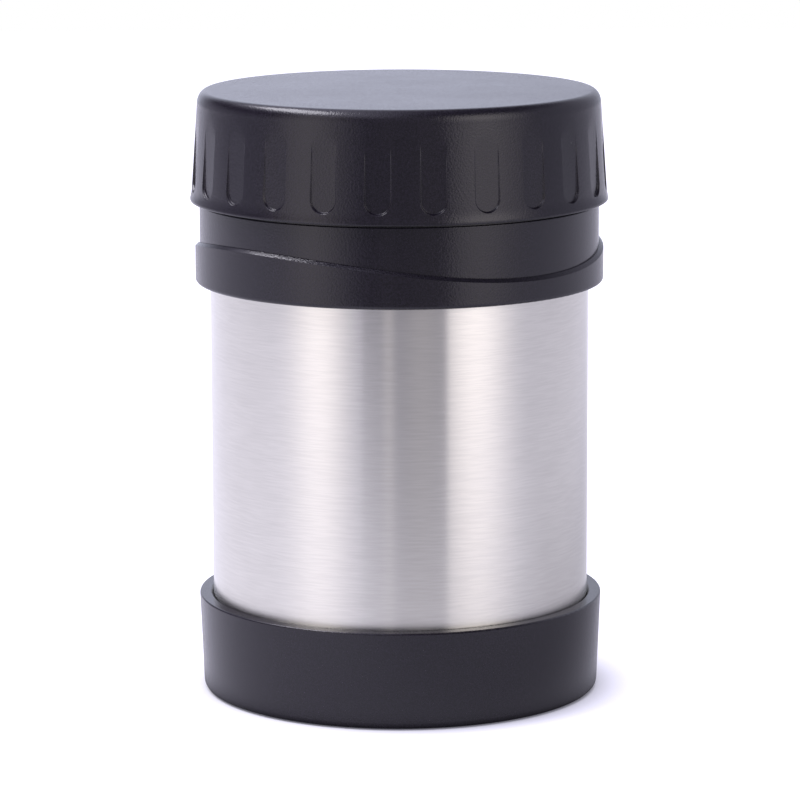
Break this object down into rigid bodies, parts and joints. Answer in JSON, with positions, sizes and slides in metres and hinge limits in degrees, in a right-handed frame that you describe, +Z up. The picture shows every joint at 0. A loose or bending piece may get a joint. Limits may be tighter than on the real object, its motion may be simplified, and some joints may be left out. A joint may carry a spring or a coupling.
{
  "type": "insulated food jar",
  "caption": "Cylindrical vacuum food jar of brushed steel with black base cup, wavy-ledged neck collar, vented screw stopper and fluted double-wall screw lid.",
  "frame": {"origin": "centre of the base cup's foot, on the surface the jar stands on", "axes": "+Z up along the jar's axis; -Y is the front, where the collar's ledge falls from left to right"},
  "size_m": [0.0916, 0.0916, 0.1329],
  "materials": {
    "steel_brushed": "brushed round the jar, satin",
    "steel_plain": "drawn sheet, dull polish",
    "foil": "bright copper-coated foil",
    "getter_metal": "pressed grey powder",
    "solder": "dull solder",
    "black_plastic": "fine-grained matte black",
    "inner_plastic": "satin black, smooth",
    "silicone": "translucent white silicone",
    "foam": "closed-cell foam",
    "spring_steel": "drawn wire"
  },
  "bodies": {
    "flask": {"outer_shell": "steel_brushed", "shell_bottom": "steel_plain", "inner_liner": "steel_plain", "liner_bottom": "steel_plain", "reflector_foil": "foil", "getter": "getter_metal", "getter_cup": "steel_plain", "seal_plug": "solder", "base_cup": "black_plastic", "collar": "black_plastic", "collar_gasket": "silicone"},
    "stopper_carriage": {"stopper_foam": "foam"},
    "stopper": {"stopper_cap": "inner_plastic", "stopper_cup": "inner_plastic", "stopper_seal": "silicone", "vent_spring": "spring_steel"},
    "vent": {"vent_button": "inner_plastic", "vent_stem": "inner_plastic", "vent_valve": "silicone"},
    "lid_carriage": {"lid_foam": "foam"},
    "lid": {"lid_shell": "black_plastic", "lid_liner": "inner_plastic"}
  },
  "joints": [
    {"name": "stopper_rise", "type": "slide", "parent": "flask", "child": "stopper_carriage", "axis": [0, 0, 1], "range_m": [0, 0.024]},
    {"name": "stopper_turn", "type": "hinge", "parent": "stopper_carriage", "child": "stopper", "pos_m": [0, 0, 0.1], "axis": [0, 0, 1], "range_deg": [0, 720]},
    {"name": "vent_press", "type": "slide", "parent": "stopper", "child": "vent", "axis": [0, 0, -1], "range_m": [0, 0.002], "stiffness_N_per_m": 400, "springref_m": -0.001, "deforming": ["vent_spring"]},
    {"name": "lid_rise", "type": "slide", "parent": "stopper", "child": "lid_carriage", "axis": [0, 0, 1], "range_m": [0, 0.021]},
    {"name": "lid_turn", "type": "hinge", "parent": "lid_carriage", "child": "lid", "pos_m": [0, 0, 0.12], "axis": [0, 0, 1], "range_deg": [0, 630]}
  ],
  "couplings": [
    {"joint": "stopper_rise", "follows": "stopper_turn", "m_per_rad": 0.0019099},
    {"joint": "lid_rise", "follows": "lid_turn", "m_per_rad": 0.0019099}
  ]
}
